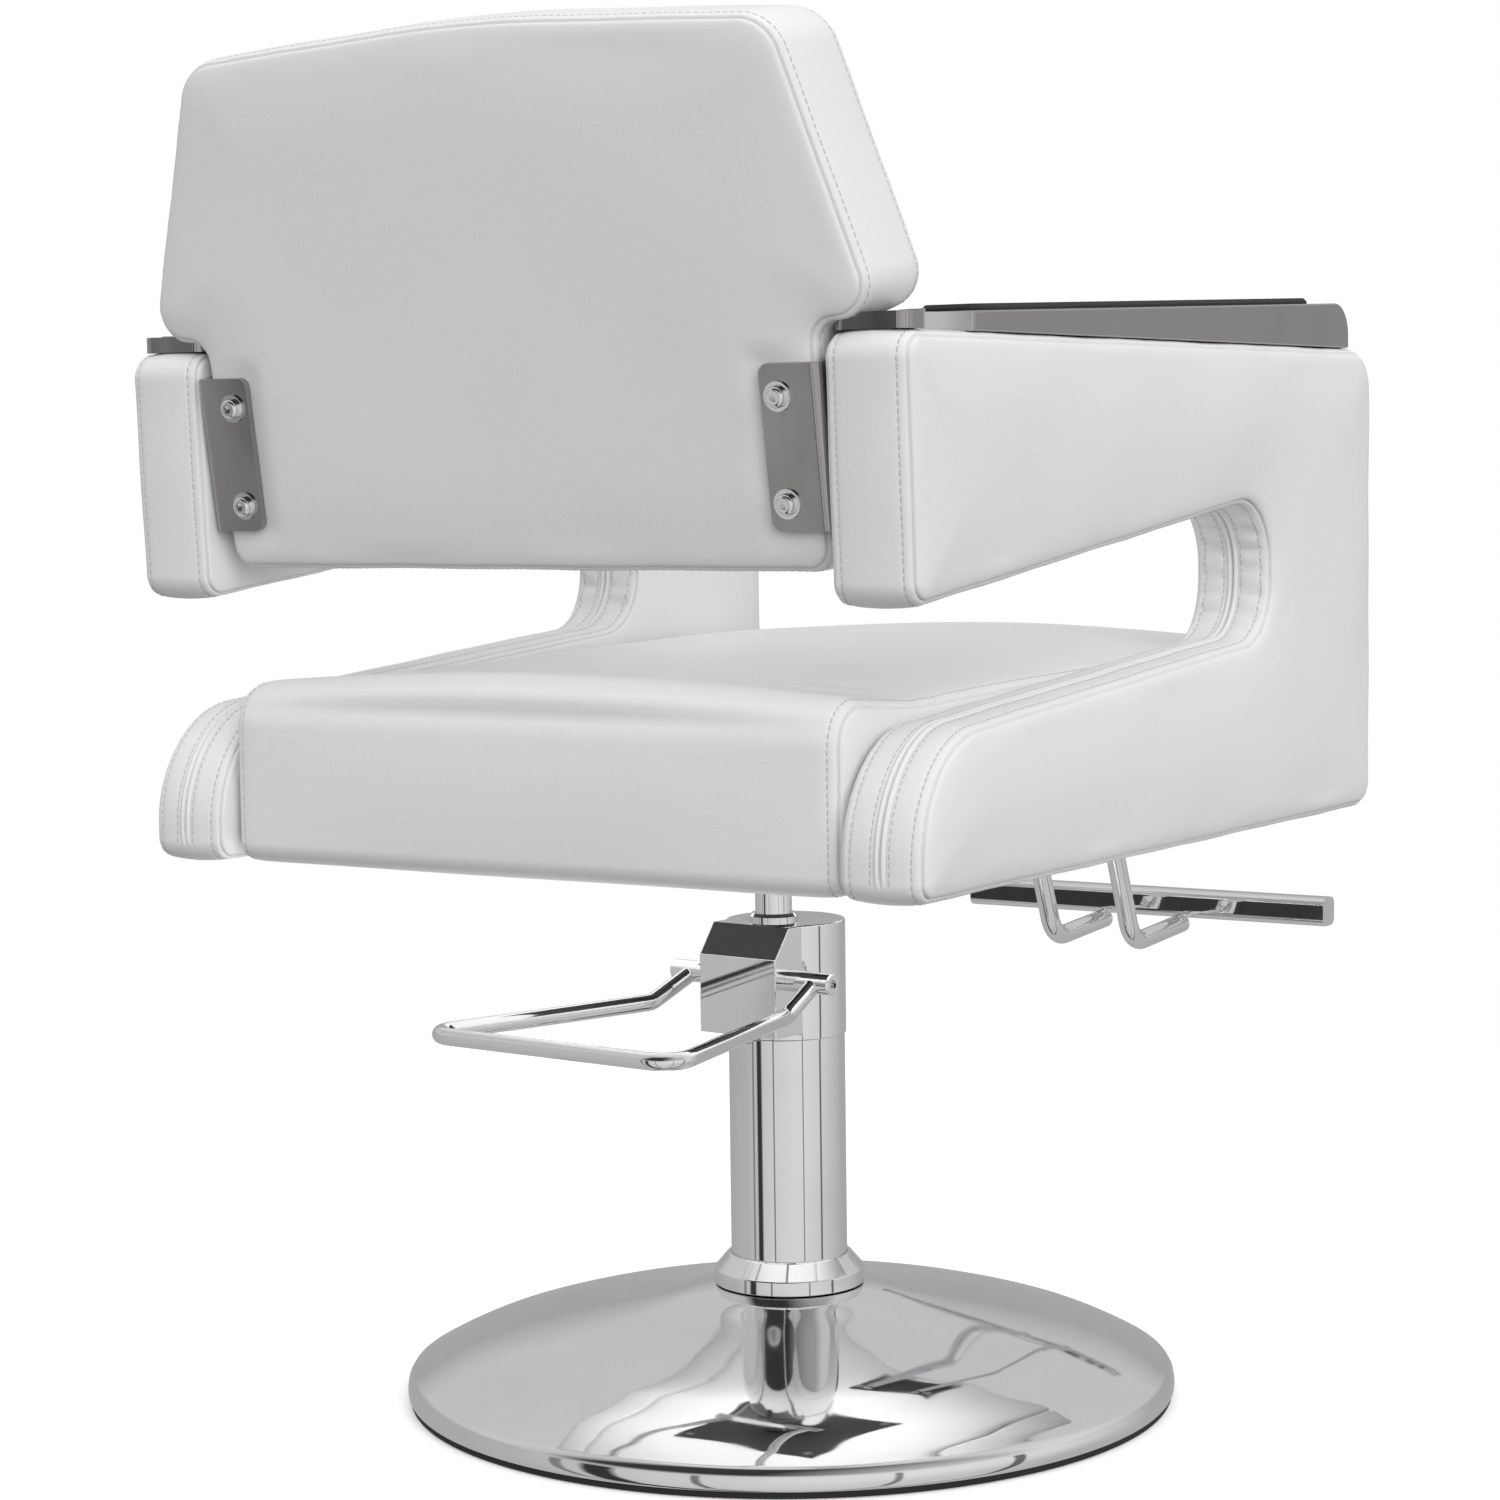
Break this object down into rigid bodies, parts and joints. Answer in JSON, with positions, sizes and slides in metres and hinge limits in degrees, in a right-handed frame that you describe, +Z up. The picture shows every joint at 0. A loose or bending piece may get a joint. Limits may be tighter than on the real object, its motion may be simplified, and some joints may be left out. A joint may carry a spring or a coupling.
{
  "type": "salon styling chair",
  "caption": "Hydraulic salon styling chair: padded seat and back, long C-shaped padded arms with metal tops, foot pedal, round base and a T footrest.",
  "frame": {"origin": "on the floor, where the seat's swivel axis meets it; the column and base are 7.4 mm and 4.6 mm off that axis", "axes": "+Z is up, the chair faces -Y, and the sitter's right arm is at -X"},
  "size_m": [0.63, 1.028, 0.9938],
  "materials": {
    "white_upholstery": "white leather-look vinyl, semi-matte, fine grain",
    "bright_chrome": "mirror chrome plate",
    "polished_stainless": "dark polished stainless",
    "brushed_stainless": "brushed stainless",
    "raw_steel": "machined steel",
    "zinc_fasteners": "zinc plate",
    "black_painted_steel": "black paint",
    "bronze_bush": "machined bronze",
    "black_rubber": "matt black rubber",
    "black_pad": "satin black moulded pad",
    "plywood": "bare plywood"
  },
  "bodies": {
    "base": {"base_cover": "bright_chrome", "base_rubber_trim": "black_rubber", "base_steel_plate": "raw_steel", "base_collar": "bright_chrome", "column_tube": "bright_chrome", "pump_foot_flange": "raw_steel", "pump_foot_bolts": "zinc_fasteners", "pump_cylinder": "raw_steel", "pump_head": "bright_chrome", "rod_guide_bush": "bronze_bush", "rod_wiper_ring": "bright_chrome", "plunger_barrel": "raw_steel", "plunger_spring": "raw_steel"},
    "plunger": {"pump_plunger": "raw_steel"},
    "pedal": {"pedal_shaft": "bright_chrome", "pedal_bar": "bright_chrome", "pedal_rocker": "raw_steel"},
    "lift": {"piston_head": "raw_steel", "piston_seal": "black_rubber"},
    "seat": {"piston_rod": "bright_chrome", "seat_mount_plate": "black_painted_steel", "seat_mount_bolts": "zinc_fasteners", "seat_board": "plywood", "seat_cushion": "white_upholstery", "arm_upholstery_right": "white_upholstery", "arm_upholstery_left": "white_upholstery", "arm_core_right": "plywood", "arm_core_left": "plywood", "arm_bolts_right": "zinc_fasteners", "arm_bolts_left": "zinc_fasteners", "backrest_cushion": "white_upholstery", "backrest_board": "plywood", "back_bracket_right": "polished_stainless", "back_bracket_left": "polished_stainless", "bracket_washers": "bright_chrome", "bracket_bolts": "bright_chrome", "bracket_arm_screws": "zinc_fasteners", "arm_tray_right": "polished_stainless", "arm_tray_left": "polished_stainless", "arm_pad_right": "black_pad", "arm_pad_left": "black_pad", "tool_cup_right": "brushed_stainless", "tool_cup_left": "brushed_stainless", "tray_strap_right": "polished_stainless", "tray_strap_left": "polished_stainless", "footrest_bar": "bright_chrome", "footrest_end_caps": "bright_chrome", "footrest_tube_right": "bright_chrome", "footrest_tube_left": "bright_chrome", "footrest_plate": "black_painted_steel", "footrest_bolts": "zinc_fasteners"}
  },
  "joints": [
    {"name": "seat_lift", "type": "slide", "parent": "base", "child": "lift", "axis": [0, 0, 1], "range_m": [0, 0.145]},
    {"name": "seat_swivel", "type": "hinge", "parent": "lift", "child": "seat", "pos_m": [0, 0, 0.2], "axis": [0, 0, 1], "continuous": true},
    {"name": "pedal_hinge", "type": "hinge", "parent": "base", "child": "pedal", "pos_m": [-0.00366, 0.03573, 0.318], "axis": [0.9957, -0.0924, 0], "range_deg": [-22, 0], "stiffness_Nm_per_rad": 12, "springref_deg": 14.32},
    {"name": "plunger_slide", "type": "slide", "parent": "base", "child": "plunger", "axis": [0, 0, 1], "range_m": [-0.0046, 0.0002], "deforming": ["plunger_spring"]}
  ],
  "couplings": [
    {"joint": "plunger_slide", "follows": "pedal_hinge", "m_per_rad": 0.0115}
  ]
}
